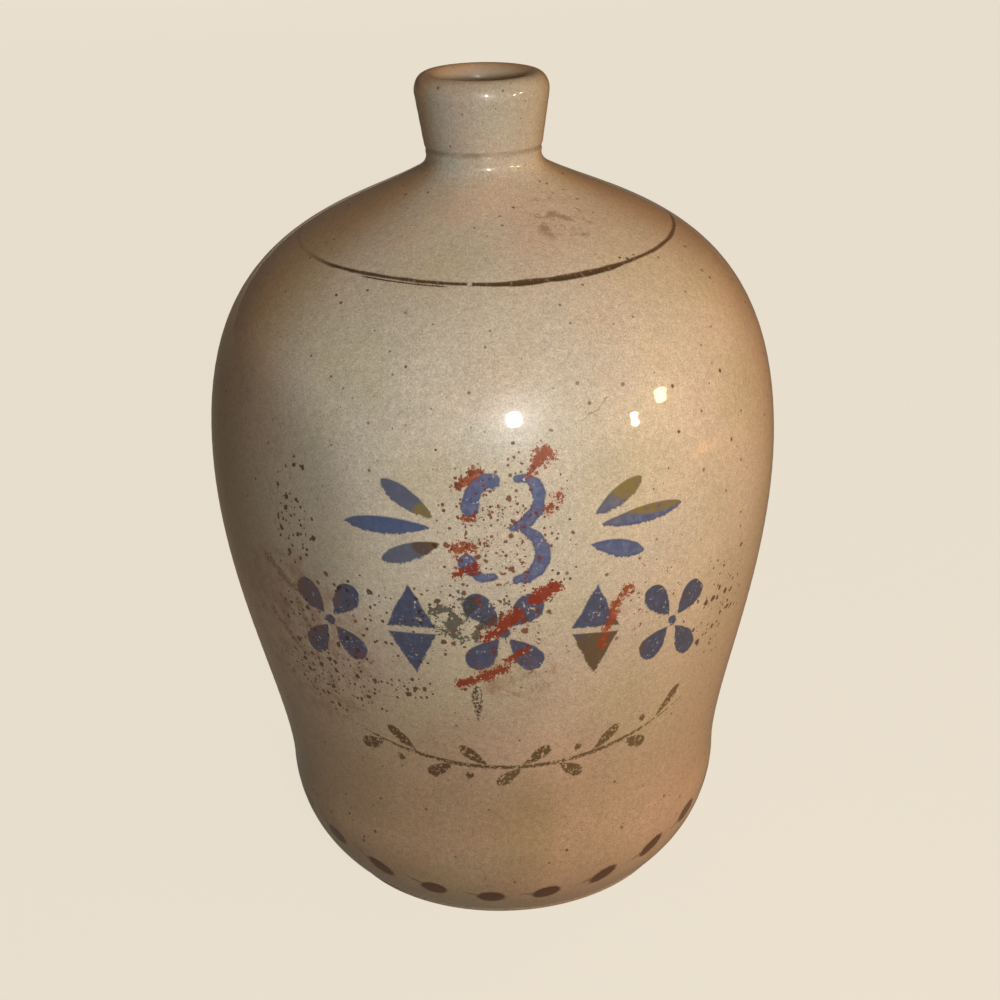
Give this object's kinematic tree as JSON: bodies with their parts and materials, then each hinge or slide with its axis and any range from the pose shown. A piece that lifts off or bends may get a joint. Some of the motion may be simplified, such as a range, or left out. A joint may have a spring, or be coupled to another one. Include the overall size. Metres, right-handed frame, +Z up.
{
  "type": "stoneware jug",
  "caption": "Upright stoneware shoulder jug with a tapered foot, a narrow open neck with a rounded lip and a strap handle behind.",
  "frame": {"origin": "centre of the flat base, on the surface that the jug stands on", "axes": "+Z up along the jug's axis, -Y towards the painted front, +Y towards the handle, +X to the right of someone facing the front"},
  "size_m": [0.267, 0.267, 0.39],
  "materials": {
    "lower_glaze": "glossy salt glaze, warm tan, with painted marks",
    "shoulder_glaze": "glossy salt glaze, grey tan with dark pinholes",
    "neck_glaze": "glossy salt glaze, greenish grey tan",
    "handle_glaze": "glossy salt glaze, tan, worn at the ridges"
  },
  "bodies": {
    "root": {"lower_body": "lower_glaze", "shoulder": "shoulder_glaze", "neck": "neck_glaze", "handle": "handle_glaze"}
  },
  "joints": []
}
